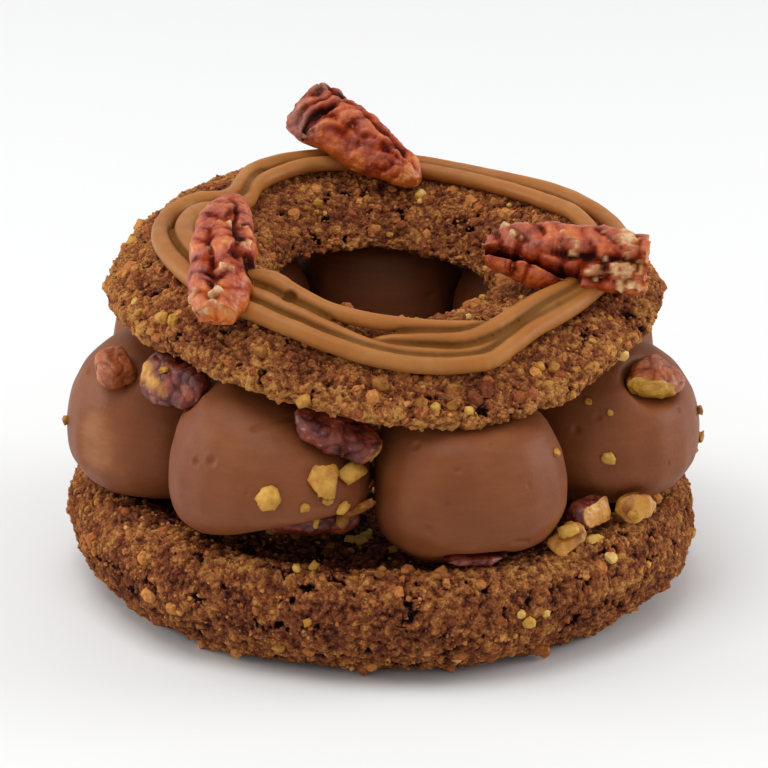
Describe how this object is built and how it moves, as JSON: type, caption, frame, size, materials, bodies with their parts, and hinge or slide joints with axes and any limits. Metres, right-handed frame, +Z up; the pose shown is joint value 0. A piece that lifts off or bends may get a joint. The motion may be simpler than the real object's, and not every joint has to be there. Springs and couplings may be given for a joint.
{
  "type": "paris brest pastry",
  "caption": "Filled ring pastry: crumbly chocolate base and tilted top ring, balls of chocolate cream between them, praline rope and candied pecans on top.",
  "frame": {"origin": "centre of the base ring's flat underside, on the axis of the ring", "axes": "+Z up, along the ring's axis; -Y is the front, the side that the top ring leans down to; +X to the right seen from the front"},
  "size_m": [0.101, 0.101, 0.069],
  "materials": {
    "crust": "rough, crumbly baked crust",
    "chocolate_cream": "smooth satin cream",
    "praline_cream": "smooth, slightly glossy cream",
    "candied_pecan": "wrinkled nut with a thin sugar glaze"
  },
  "bodies": {
    "root": {"base_ring": "crust", "top_ring": "crust", "cream_left": "chocolate_cream", "cream_front_left": "chocolate_cream", "cream_front_right": "chocolate_cream", "cream_right": "chocolate_cream", "cream_back_right": "chocolate_cream", "cream_back": "chocolate_cream", "cream_back_left": "chocolate_cream", "praline_rope": "praline_cream", "pecan_top_back": "candied_pecan", "pecan_top_right": "candied_pecan", "pecan_top_left": "candied_pecan", "pecan_upper_1": "candied_pecan", "pecan_upper_2": "candied_pecan", "pecan_upper_3": "candied_pecan", "pecan_upper_4": "candied_pecan", "pecan_upper_5": "candied_pecan", "pecan_upper_6": "candied_pecan", "pecan_upper_7": "candied_pecan", "pecan_lower_1": "candied_pecan", "pecan_lower_2": "candied_pecan", "pecan_lower_3": "candied_pecan", "pecan_lower_4": "candied_pecan", "pecan_lower_5": "candied_pecan", "pecan_lower_6": "candied_pecan", "pecan_lower_7": "candied_pecan", "pecan_lower_8": "candied_pecan"}
  },
  "joints": []
}
